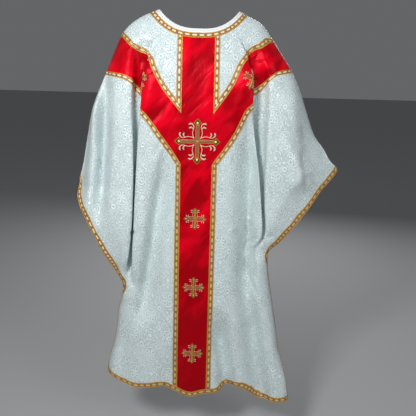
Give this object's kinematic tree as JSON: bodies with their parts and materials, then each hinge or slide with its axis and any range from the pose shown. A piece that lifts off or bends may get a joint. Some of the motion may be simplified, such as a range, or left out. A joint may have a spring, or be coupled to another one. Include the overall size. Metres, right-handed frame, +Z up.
{
  "type": "gothic chasuble",
  "caption": "Full gothic chasuble, filled out as worn: white brocade front and back with a red satin Y orphrey, gold galloon and applied crosses, open at neck, sides and hem.",
  "frame": {"origin": "middle of the neck opening, at the height of the two neck points where front and back meet", "axes": "+Z up; the back, with the crosses, faces -Y and the front +Y; +X is the wearer's right"},
  "size_m": [0.8951, 0.3337, 1.3234],
  "materials": {
    "brocade": "white damask brocade with a soft silk sheen",
    "satin": "bright red satin with soft highlights",
    "neck_band": "plain white binding",
    "galloon": "woven gold and cream trim",
    "embroidery": "copper and gold thread embroidery"
  },
  "bodies": {
    "root": {"back_panel": "brocade", "orphrey_back": "satin", "neck_band_back": "neck_band", "galloon_neck_back": "galloon", "galloon_edge_back": "galloon", "galloon_v_left_back": "galloon", "galloon_pillar_left_back": "galloon", "galloon_v_right_back": "galloon", "galloon_pillar_right_back": "galloon", "front_panel": "brocade", "orphrey_front": "satin", "neck_band_front": "neck_band", "galloon_neck_front": "galloon", "galloon_edge_front": "galloon", "galloon_v_left_front": "galloon", "galloon_pillar_left_front": "galloon", "galloon_v_right_front": "galloon", "galloon_pillar_right_front": "galloon", "cross_large": "embroidery", "cross_small_1": "embroidery", "cross_small_2": "embroidery", "cross_small_3": "embroidery", "cross_arm_left": "embroidery", "cross_arm_right": "embroidery"}
  },
  "joints": []
}
